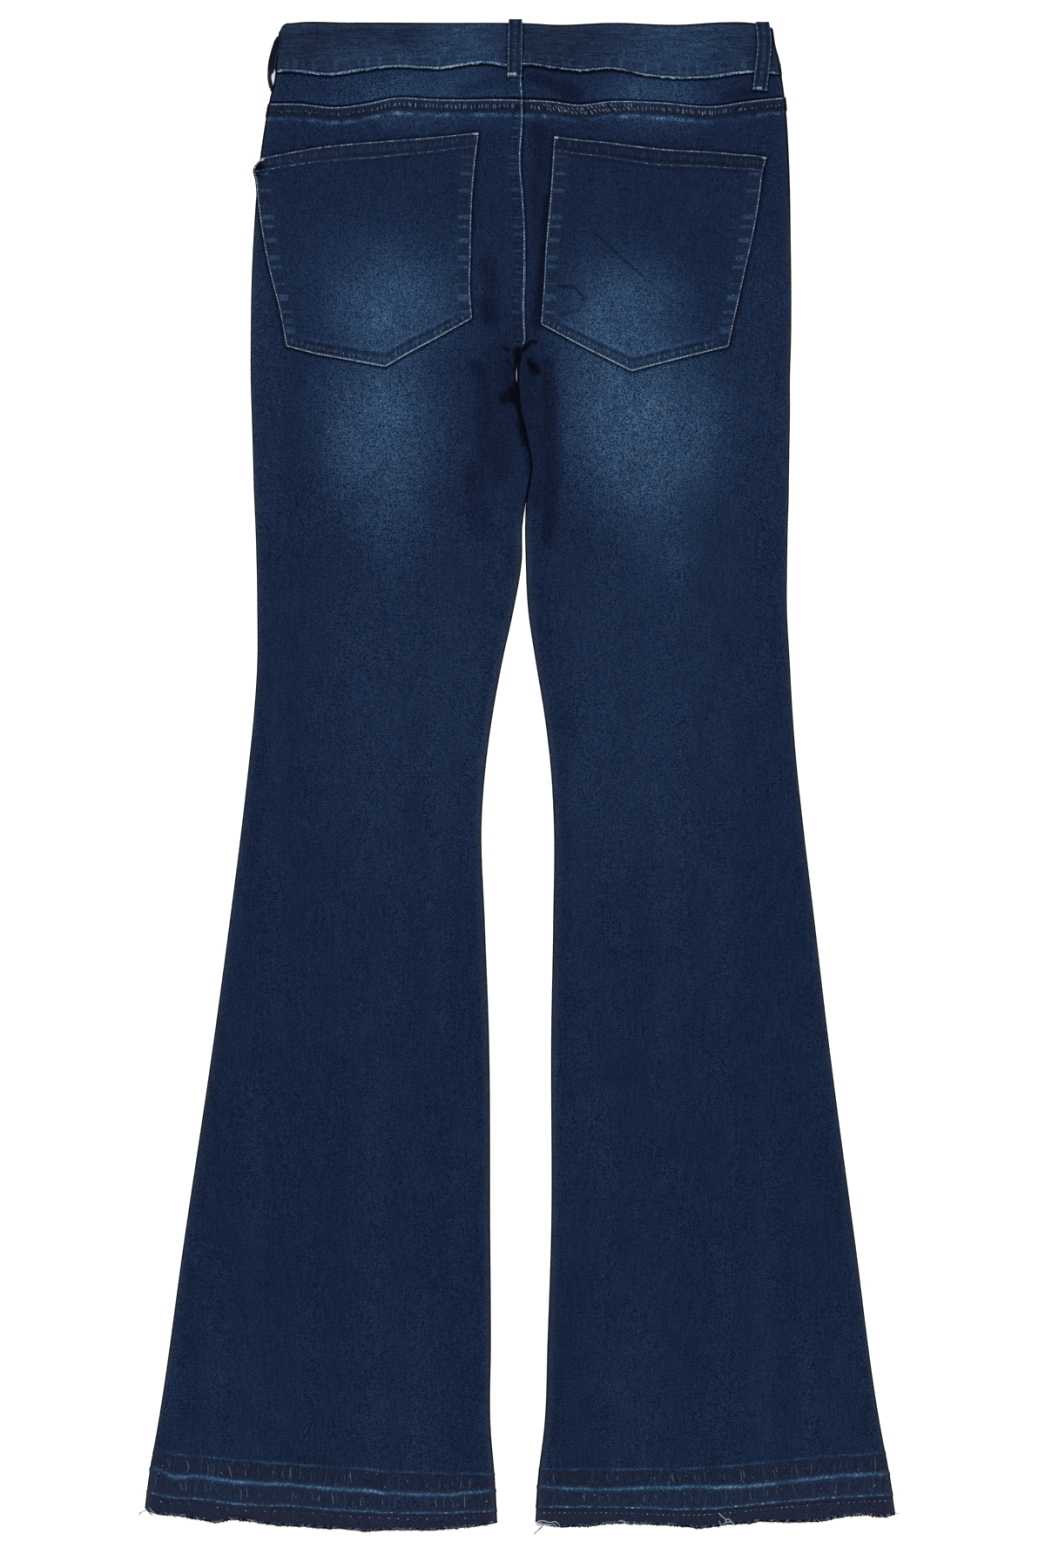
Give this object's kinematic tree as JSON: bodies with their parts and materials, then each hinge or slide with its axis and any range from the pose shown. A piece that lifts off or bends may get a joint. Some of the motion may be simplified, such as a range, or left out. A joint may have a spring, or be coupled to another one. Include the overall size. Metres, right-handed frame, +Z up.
{
  "type": "flared jeans",
  "caption": "Flared stretch-denim jeans laid flat with the back side up, with patch pockets, a back yoke, belt loops and released raw hems.",
  "frame": {"origin": "centre of the garment's footprint, on the surface it lies on", "axes": "+Y from the hems to the waist, +Z up from the surface, out of the garment's back side; +X towards the wearer's right"},
  "size_m": [0.5516, 1.1105, 0.0144],
  "materials": {
    "denim": "dark indigo stretch denim",
    "denim_worn": "indigo denim, slightly faded",
    "denim_dark": "dark indigo denim and zip tape",
    "button_metal": "satin copper-toned metal"
  },
  "bodies": {
    "root": {"waistband_back": "denim_worn", "waistband_front_left": "denim_worn", "waistband_front_right": "denim_worn", "yoke_left": "denim_worn", "yoke_right": "denim_worn", "back_leg_left": "denim", "back_leg_right": "denim", "front_leg_left": "denim", "front_leg_right": "denim", "back_pocket_left": "denim_worn", "back_pocket_right": "denim_worn", "pocket_facing_left": "denim_dark", "pocket_facing_right": "denim_dark", "belt_loop_centre_back": "denim_worn", "belt_loop_side_left": "denim", "belt_loop_side_right": "denim_worn", "belt_loop_front_left": "denim", "belt_loop_front_right": "denim", "fly_zip": "denim_dark", "waist_button": "button_metal"}
  },
  "joints": []
}
